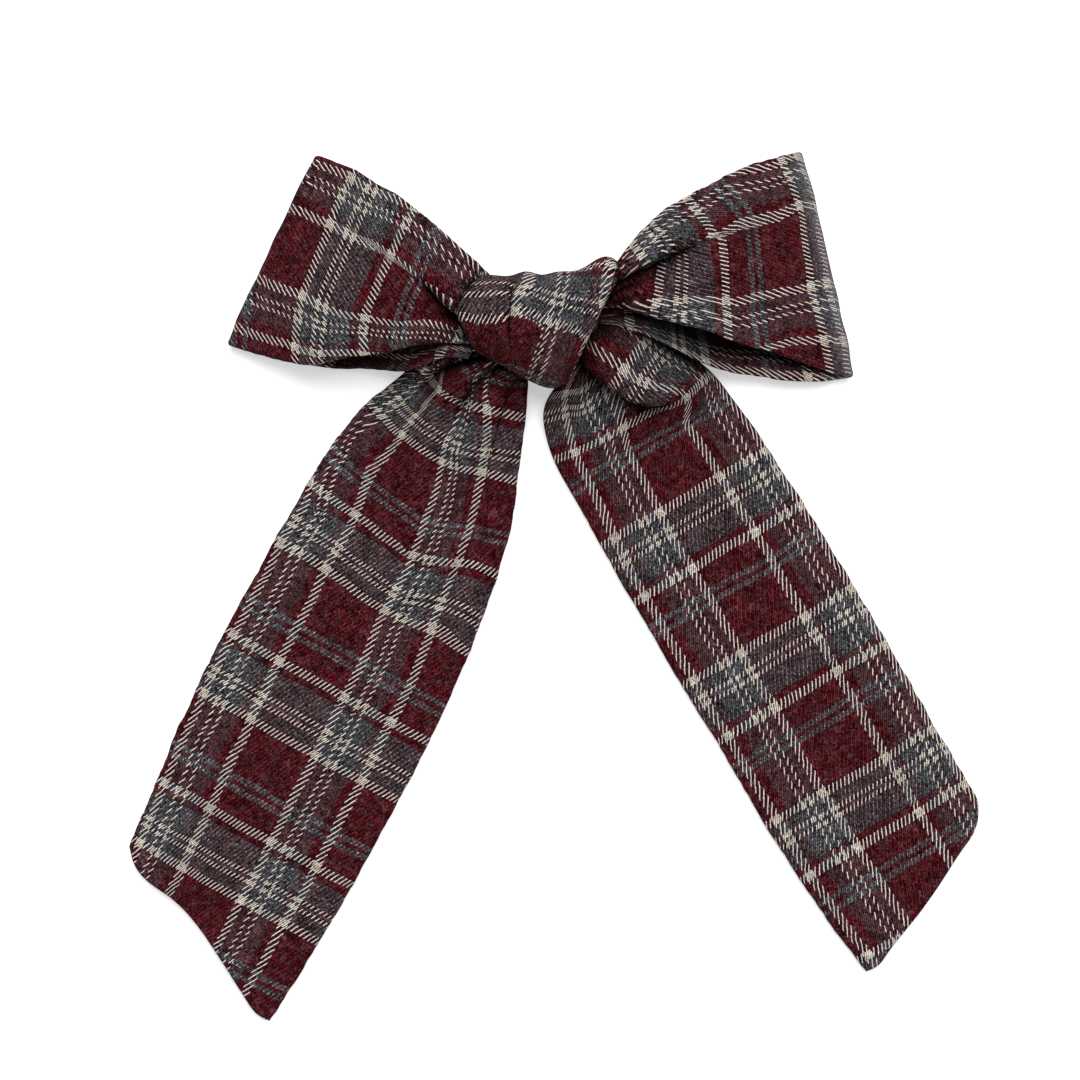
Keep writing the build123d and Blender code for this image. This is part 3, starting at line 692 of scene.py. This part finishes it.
def crease_roll(above, fade):
    """Relief where a loop's upper edge rolls over the rest: a lip, and a step down under it, in mm."""
    lip = smooth(above / 1.4)
    return fade * (3.2 * lip * ridge(above - 2.4, 5.0) - 3.4 * (1 - lip) * ridge(above, 7.0)
                   - 1.8 * valley(above, 1.1))


def loop_side(fold):
    """The path of a loop's cloth seen from its side, from the front ply in the knot round to the back ply.

    It comes as the length, the distance out and the height of each point, its threads counted from the
    fold in mm, which lie a little wider on the slopes, and the length at which the cloth turns over.
    """
    reach = fold - FOLD_DEPTH
    stretch = reach / SIDE_REACH
    out = np.linspace(-6, SIDE_REACH, 90)
    front = np.stack([np.where(out > 0, out * stretch, out), through(FRONT_SIDE, out)], axis=1)
    back = np.stack([np.where(out > 0, out * stretch, out), through(BACK_SIDE, out)], axis=1)[::-1]
    top, bottom = front[-1], back[0]
    middle, radius = (top[1] + bottom[1]) / 2, (top[1] - bottom[1]) / 2
    angle = np.linspace(pi / 2, -pi / 2, 24)[1:-1]
    turn = np.stack([reach + radius * np.cos(angle), middle + radius * np.sin(angle)], axis=1)
    path = np.concatenate([front, turn, back])
    steps = [np.linalg.norm(np.diff(path, axis=0) * (1, rise), axis=1) for rise in (1, 0.35)]
    length, threads = (np.concatenate([[0], np.cumsum(step)]) for step in steps)
    over = len(front) + len(turn) // 2
    return length, path[:, 0], path[:, 1], threads - threads[over], length[over]


def loop_grid(fold, width):
    """Rows along a loop's path and columns across it, with what the path has there."""
    length, out, z, threads, turn = loop_side(fold)
    steps = edge_steps(length[-1], 0.8)
    distance, b = np.meshgrid(steps, edge_steps(width, 0.8) / width, indexing="ij")
    place = np.interp(distance, length, out)
    height = np.interp(distance, length, z)
    side = smooth((distance - turn) / 12 + 0.5)      # 0 on the front ply, 1 on the back ply
    return np.interp(distance, length, threads), place, height, side, b, distance


def droop(height, inward, out):
    """How far a loop's front ply sinks towards its lower edge, inward mm from that edge."""
    return 0.45 * (height - 4) * smooth(1 - inward / 22) * climb(out, 22, 18)


def loop_cloth(loop):
    """A loop from the knot out and back: its points, weave and plaid, and how worn it is."""
    past, out, z, back, b, run = loop_grid(loop.fold, loop.width)
    up, seed, front = loop.up, loop.seed, 1 - back
    top = through(loop.top, out) + edge_wander(past, 0.25 * up, seed + 1, seed + 5)
    low = through(loop.front_low, out) * front + through(loop.back_low, out) * back
    low = low + edge_wander(past, -0.25 * up, seed + 2, seed + 6)
    left = top + (low - top) * b
    plan = in_plan(loop.axes, out, left)
    above = up * (left - through(loop.crease, out))
    inward = up * (left - low)
    # the front ply arches between its edges, and its top edge rolls over a crease that leaves the knot
    arch = (4.2 * np.sin(pi * b) ** 0.8 - loop.sag) * fall(out, 26, 26) * front
    roll = crease_roll(above, fall(out, loop.crease_end, loop.crease_fade) * front)
    low_roll = loop.low_roll * ridge(3.5 - inward, 3.4) * fall(out, loop.low_roll_end, 22) * front
    gathers = loop.gathers * np.sin(2 * pi * b * loop.pleats + loop.first_pleat) * fall(out, 12, 12)
    across = left + 90 * back
    waves = (0.9 * ripple(out, across, 24, seed + 3) * fall(out, loop.calm, 14)
             + 0.22 * ripple(out, across, 9, seed + 4))
    pinch = climb(out, -3, 9)
    height = z + (arch + roll + low_roll + gathers) * pinch + waves * (1 - 0.6 * back)
    height = height - droop(height, inward, out) * front
    lifted = loop.lift * smooth(1 - inward / 12) * climb(out, 8, 10) * fall(out, 60, 12) * back
    points = stack(plan[..., 0], plan[..., 1], np.maximum(height + lifted, LYING - 0.1))
    # the weave runs along the loop below its crease, and along its top edge above it
    slope = (through(loop.top, out + 1) - through(loop.top, out - 1)) / 2 * fall(out, 50, 20)
    fold_top = loop.top[-1][1]
    below = stack(run, left * front + (fold_top - up * loop.width * b) * back)
    along_top = stack(run + slope * (left - top), left - top + fold_top)
    over = smooth(above / 1.4 + 0.5)[..., None]
    weave = up * (below + (along_top - below) * (over * front[..., None]))
    u, v = loop.plaid_start
    cloth = stack(u - loop.lean * b + up * past, v - loop.width * b)
    low, high = (lay_plaid(points, cloth, loop.marks + more, front) for more in (loop.below, loop.above))
    return points, weave, low + (high - low) * over, loop.worn * ridge(past - 1, 3.2)


# ---- knot
# Its outline above and below, as (x, y)
KNOT_TOP = [
    (-23, 7.6), (-21.4, 9.8), (-18.5, 11.6), (-15, 12.2), (-7.4, 12.1), (-3.8, 13.1), (0.2, 12.2),
    (4.6, 13), (10.6, 13.5), (14, 15.2), (18.2, 17.2), (21.8, 15.8)]
KNOT_BOTTOM = [
    (-23, -1.5), (-20.2, -5.4), (-16.8, -7.8), (-11.2, -10.6), (-4.2, -14.6), (0, -16.6), (4.2, -17.3),
    (8.4, -14.6), (12.6, -9.6), (17, -3.6), (22, 3)]
# Ends of the sleeve as (share of the way from its bottom to its top, x)
KNOT_RIGHT = [(0, 8.4), (0.2, 13), (0.4, 17), (0.6, 19.6), (0.8, 20.8), (1, 21.4)]
KNOT_LEFT = [(0, -18.4), (0.3, -21.6), (0.5, -22.2), (0.8, -20.8), (1, -17.2)]
KNOT_FLOOR, KNOT_MIDDLE, KNOT_CREST = 9.9, 16.0, 28.0     # heights of its back, its sides and its front
KNOT_WIDTH = 40        # from one end of the band to the other
KNOT_ROLL = 2.1        # radius to which its ends roll in
KNOT_HALF = 0.9        # half its cloth's thickness
# Lines of the plaid over the front as seen from above, upright ones as (y, x) and level ones as (x, y).
KNOT_RIGHT_LINE = [
    (-14, 8.6), (-10.4, 9.9), (-8, 10.8), (-6, 11.4), (-3.9, 13), (-0.1, 14.6), (5.1, 16.1), (10.7, 17.7),
    (14.8, 19.2), (19, 20)]
KNOT_DOUBLE_RIGHT = [
    (-16, -0.6), (-9.4, 2.2), (-4.2, 3.4), (0.5, 4.8), (4.9, 6), (10, 7.2), (13, 8.3), (18, 9.4)]
KNOT_DOUBLE_LEFT = [
    (-16, -3.4), (-10.5, -0.8), (-5.4, 0.8), (-2.5, 1.6), (1, 3), (4, 4), (8, 5), (12.5, 6.2), (18, 7.6)]
KNOT_LEFT_LINE = [(-3, -7.6), (3.9, -6), (6.4, -5.8), (8.8, -4.6), (11.8, -3.4), (18, -2.4)]
KNOT_WHITE_LINE = [
    (-23, 3.3), (-21, 2.8), (-8.4, 3.1), (-6, 3.9), (-3, 3.3), (-1, 2.2), (2.8, 0.8), (7.8, -0.4),
    (11, -1.6), (13, -3.6), (20, -9)]
KNOT_DOUBLE_LOW = [
    (-23, 7), (-18, 7.8), (-8.4, 7.8), (-1.8, 7.6), (1.6, 6.3), (5.8, 5.3), (7.8, 4.8), (10, 4.3),
    (20, 3.4)]
KNOT_DOUBLE_HIGH = [
    (-23, 9.2), (-18, 10), (-8.4, 10), (-1.8, 8.9), (2.6, 8.2), (5, 7.6), (7.8, 7.2), (11.6, 6.8),
    (20, 6.6)]
# Where both edges of each of those lines lie on the cloth, between a place before them and one after.
KNOT_WARP_EDGES = (-4.74, 0, 2.52, 9.14, 10.08, 11.34, 12.28, 14.81, 17.33, 36.1)
KNOT_WEFT_EDGES = (-28.7, 0, 2.52, 5.98, 6.92, 8.18, 9.12, 68.6)


def between_lines(distance, before, lines, after, values):
    """Plaid coordinates along one row of points, which lines cross at (place, half width)."""
    places = [lines[0][0] - before]
    for place, half in lines:
        places += [place - half, place + half]
    places.append(lines[-1][0] + after)
    return np.interp(distance, np.maximum.accumulate(places), values)


def knot_plaid(points, rise, d, around, roll_start):
    """Plaid coordinates of the band, from the lines that cross its front."""
    x, y = np.moveaxis(as_seen(points), -1, 0)
    columns = np.arange(x.shape[1])
    outer = (d >= roll_start) & (d <= d.max() - roll_start)
    lines = [KNOT_RIGHT_LINE, KNOT_DOUBLE_RIGHT, KNOT_DOUBLE_LEFT, KNOT_LEFT_LINE]
    crossed = []
    for line in lines:
        miss = np.where(outer, np.abs(x - through(line, y)), 1e3)
        crossed.append(np.take_along_axis(d, miss.argmin(axis=1)[:, None], axis=1)[:, 0])
    right, near, far, left = (np.convolve(np.pad(c, 3, mode="wrap"), np.ones(7) / 7, mode="valid")
                              for c in crossed)
    v = np.empty_like(x)
    for row in range(len(x)):
        crossing = ((right[row], WIDE_LINE), (near[row], THIN_LINE),
                    (far[row], THIN_LINE), (left[row], WIDE_LINE))
        v[row] = between_lines(d[row], 6, crossing, 20, KNOT_WARP_EDGES)
    # below the widest level line the cloth has a tuck beside its double lines, which swallows one line
    below = smooth((through(KNOT_WHITE_LINE, x) - 1.3 - y) / 1.0) * (rise > 0.05)
    v = v + 5.2 * below * smooth((d - far[:, None] - 0.7) / 0.9) * smooth((left[:, None] + 6 - d) / 5 + 1)
    front = np.where(rise > 0.12, 0, 100)
    level = [np.argmin(np.abs(y - through(line, x)) + front, axis=0)
             for line in (KNOT_WHITE_LINE, KNOT_DOUBLE_LOW, KNOT_DOUBLE_HIGH)]
    white, low, high = (around[at, columns] for at in level)
    u = np.empty_like(x)
    for column in columns:
        crossing = ((white[column], WIDE_LINE), (low[column], THIN_LINE), (high[column], THIN_LINE))
        u[:, column] = between_lines(around[:, column], 30, crossing, 60, KNOT_WEFT_EDGES)
    return stack(u, v)


def knot_cloth():
    """The band round the middle: a closed sleeve whose two ends roll in towards the loops."""
    curl = radians(55)
    roll_length = KNOT_ROLL * (pi / 2 + curl)
    width = KNOT_WIDTH + 2 * (roll_length - KNOT_ROLL)
    across = np.linspace(0, width, 90)
    round_ = np.linspace(0, 2 * pi, 150, endpoint=False)
    turn, d = np.meshgrid(round_, across, indexing="ij")
    near_end = np.minimum(d, width - d)
    angle = np.clip(near_end / KNOT_ROLL - curl, -curl, pi / 2)
    in_from_end = np.where(near_end < roll_length, KNOT_ROLL * (1 - np.cos(angle)),
                           KNOT_ROLL + near_end - roll_length)
    drop = KNOT_ROLL * (1 - np.sin(angle))
    share = np.where(d < width / 2, in_from_end, KNOT_WIDTH - in_from_end) / KNOT_WIDTH
    level = np.sign(np.cos(turn)) * np.abs(np.cos(turn)) ** 0.8
    rise = np.sign(np.sin(turn)) * np.abs(np.sin(turn)) ** 0.85
    f = (1 - level) / 2
    x = through(KNOT_RIGHT, f) * (1 - share) + through(KNOT_LEFT, f) * share
    top, bottom = through(KNOT_TOP, x), through(KNOT_BOTTOM, x)
    bulge = 1 - 0.22 * np.abs(share - 0.42) ** 2 / 0.25
    shrink = 1 - drop / 10.5
    crest = (KNOT_CREST - KNOT_MIDDLE) * bulge
    y = (top + bottom) / 2 - (top - bottom) / 2 * level * shrink
    z = KNOT_MIDDLE + np.where(rise > 0, crest, KNOT_MIDDLE - KNOT_FLOOR) * rise * shrink
    facing = np.clip(np.sin(turn), 0, 1)
    soft = smooth(near_end / 12)
    fold = through([(-14, -5.6), (-5, -8.2), (3, -8), (8, -7.4), (11, -6.2), (14, -5.4)], y)
    z = z + facing * soft * (-1.9 * valley(x - fold, 1.5) * climb(y, -13, 8)
                             + 1.1 * ridge(x - fold - 3.4, 2.8) * climb(y, -6, 8)
                             + 0.8 * ripple(x, y, 13, 71) + 0.2 * ripple(x, y, 6, 72))
    z = z - facing * 0.9 * valley(in_from_end - 5.6, 1.6) * (d < width / 2) * climb(y, -14, 8)
    points = stack(x, y, z)
    around = np.cumsum(np.linalg.norm(np.diff(points, axis=0, prepend=points[-1:]), axis=2), axis=0)
    middle = np.argmin(np.abs(y) + 100 * (rise < 0.1), axis=0)
    weave = stack(around - around[middle, np.arange(len(across))], d)
    skin = points - KNOT_HALF * normals(points)
    return points, weave, knot_plaid(skin, rise, d, around, KNOT_ROLL * curl), around[-1, len(across) // 2]


def sleeve(name, middle, cloth, plaid, girth, half, material):
    """A closed band with a thickness, whose rows run right round."""
    rows, columns = middle.shape[:2]
    wrapped = np.concatenate([middle[-1:], middle, middle[:1]])
    out = -normals(wrapped)[1:-1]
    edge = np.minimum(np.arange(columns), np.arange(columns)[::-1]) * 0.5     # columns are 0.5 mm apart
    thick = half * rounded(edge)[None, :, None]
    points = np.concatenate([(middle + out * thick).reshape(-1, 3), (middle - out * thick).reshape(-1, 3)])
    faces = np.concatenate([grid_faces(rows, columns, wrap=True, flip=True),
                            grid_faces(rows, columns, rows * columns, wrap=True)])
    maps = []
    for flat in (cloth, plaid):
        corners = np.concatenate([flat.reshape(-1, 2)] * 2)[faces.ravel()].reshape(-1, 4, 2)
        seam = np.ptp(corners[..., 0], axis=1) > girth / 2
        corners[seam, :, 0] = np.where(corners[seam, :, 0] < corners[seam, :, 0].max() - girth / 2,
                                       corners[seam, :, 0] + girth, corners[seam, :, 0])
        maps.append(corners.reshape(-1, 2))
    return new_mesh(name, points, faces, material, maps)


def knot_core():
    """What the band grips: the loops' cloth gathered to a bundle, seen only in the gaps beside the band."""
    reach, height, rise = 17.5, 17.5, 6.2      # to each side, of its middle, and from there up and down
    along = np.linspace(-reach, reach, 60)
    round_ = np.linspace(0, 2 * pi, 120, endpoint=False)
    turn, x = np.meshgrid(round_, along, indexing="ij")
    middle_y = through([(-20.5, 2.2), (-12, 2), (3, -1), (13, 4), (20.5, 7.5)], x)
    half = through([(-20.5, 6), (-12, 8), (3, 9), (13, 8), (20.5, 6)], x)
    pleat = 1 + 0.07 * np.sin(9 * turn + 0.12 * x) + 0.05 * np.sin(14 * turn - 0.2 * x)
    end = rounded(reach - np.abs(x), 3)
    y = middle_y + half * np.cos(turn) * pleat * end
    z = height + rise * np.sin(turn) * pleat * end
    cloth = stack(x, turn * 9)      # at a radius of about 9 mm
    points = stack(x, y, z)
    faces = grid_faces(*turn.shape, wrap=True, flip=True)
    flat = cloth.reshape(-1, 2)[faces.ravel()]
    return new_mesh("knot_core_gathers", points.reshape(-1, 3), faces, FLANNEL, (flat, flat))


# ---- felt backing
def felt_pad():
    """The felt oval on the back: flat where it is glued, with a cut edge that has gone soft."""
    low, high = np.array(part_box("felt_backing")) / MM
    centre, half = (low + high) / 2, (high - low) / 2
    edge = 0.45        # how far the cut edge rounds off
    turn = np.linspace(0, pi, 9)
    rim = [(1 - edge * (1 - sin(t)) / half[1], centre[2] - cos(t) * half[2]) for t in turn]
    inner = [(share, low[2]) for share in np.linspace(0, 0.93, 14)]
    outer = [(share, high[2]) for share in np.linspace(0.93, 0, 14)]
    profile = np.array(inner + rim + outer)
    spin = np.linspace(0, 2 * pi, 96, endpoint=False)
    angle, row = np.meshgrid(spin, np.arange(len(profile)), indexing="ij")
    share, z = profile[row, 0], profile[row, 1]
    fuzz = 1 + 0.012 * ripple(angle * 15, z, 3, 81) * share
    x = centre[0] + half[0] * share * np.cos(angle) * fuzz
    y = centre[1] + half[1] * share * np.sin(angle) * fuzz
    return new_mesh("felt_pad", stack(x, y, z).reshape(-1, 3), grid_faces(*angle.shape, wrap=True), FELT)


# ---- pieces
def point(axes, out, z):
    """A point in metres at a distance out along a tail's own direction."""
    x, y = in_plan(axes, out, 0.0)
    return (x * MM, y * MM, z * MM)


for name, cloth, axes, seed, size, held in (
        ("left_tail", left_tail_cloth, LEFT_TAIL, 2, (0.065, 0.197), "gathered"),
        ("right_tail", right_tail_cloth, RIGHT_TAIL, 3, (0.0555, 0.200), "folded")):
    tail = two_ply(name + "_flannel", *cloth(), FLANNEL, 0.0, seed)
    point(axes, -8, 2)
    point(axes, 10, 2)
    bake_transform(tail)
    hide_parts(name, name + "_root")

for name, shape, seed, size in (("left_loop", LEFT_LOOP, 9, (0.0595, 0.118)),
                                ("right_loop", RIGHT_LOOP, 10, (0.0652, 0.125))):
    *cloth, worn = loop_cloth(shape)
    loop = two_ply(name + "_flannel", *cloth, FLANNEL, worn, seed)
    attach(loop, "bow")
    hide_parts(name)

knot = sleeve("knot_band_flannel", *knot_cloth(), KNOT_HALF, FLANNEL)
core = knot_core()
felt = felt_pad()
for piece, slot, node_name in ((knot, "plaid_flannel", "knot_wrap"), (core, "plaid_flannel", "knot_core"),
                               (felt, "felt", "felt_backing")):
    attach(piece, "bow")
    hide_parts(node_name)

FINE, LONG = 9 / MM, 0.3 / MM      # marks in the steel are 0.1 mm wide, and 3 mm long where it was pressed
STEEL = finish("nickel_plated_spring_steel_stamped", nickel_plated_steel, (LONG, FINE, FINE))
CAD_FINISHES = {
    "clip_upper_jaw": STEEL,
    "clip_lower_jaw": STEEL,
    "clip_hinge_pin": STEEL,
    "clip_spring": finish("nickel_plated_music_wire_drawn", nickel_plated_steel, (FINE, FINE, FINE)),
    "ribbon_lining": finish("polyester_grosgrain_ribbon_wine", grosgrain_ribbon),
    "glue_bed": finish("hot_melt_glue_clear", hot_glue),
    "felt_stitches": finish("spun_polyester_thread_burgundy", sewing_thread)}
for name, material in CAD_FINISHES.items():
    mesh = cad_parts[name].data
    for index in range(len(mesh.materials)):
        mesh.materials[index] = material
    if not mesh.materials:
        mesh.materials.append(material)

# ---- floor, light and camera
FLOOR_REACH, FLOOR_Z = 3000, -0.05      # in mm; it lies a hair below the bow, so the two never flicker
corners = [(x * FLOOR_REACH, y * FLOOR_REACH, FLOOR_Z) for x, y in ((-1, -1), (1, -1), (1, 1), (-1, 1))]
floor = new_mesh("light_table", corners, [(0, 1, 2, 3)], finish("white_acrylic_light_table", light_table))

scene = bpy.context.scene
scene.view_settings.view_transform = "Standard"
world = bpy.data.worlds.new("studio_white")
scene.world = world
world.use_nodes = True
world.node_tree.nodes["Background"].inputs["Color"].default_value = (1, 1, 1, 1)
world.node_tree.nodes["Background"].inputs["Strength"].default_value = 0.35


def soft_light(name, power, spread, aim_from):
    """A wide soft sun that shines from a direction."""
    light = bpy.data.lights.new(name, "SUN")
    light.energy, light.angle = power, radians(spread)
    lamp = bpy.data.objects.new(name, light)
    lamp.rotation_euler = Vector(aim_from).to_track_quat("Z", "Y").to_euler()
    scene.collection.objects.link(lamp)


soft_light("softbox_overhead", 2.3, 38, (0.16, 0.62, 1.4))

VIEW_WIDTH = 302.4     # how much of the floor the picture is wide, in mm
camera = bpy.data.cameras.new("overhead_camera")
camera.sensor_width = 36
camera.lens = camera.sensor_width * EYE[2] / VIEW_WIDTH
seat = bpy.data.objects.new("overhead_camera", camera)
seat.location = Vector(EYE) * MM
scene.collection.objects.link(seat)
scene.camera = seat
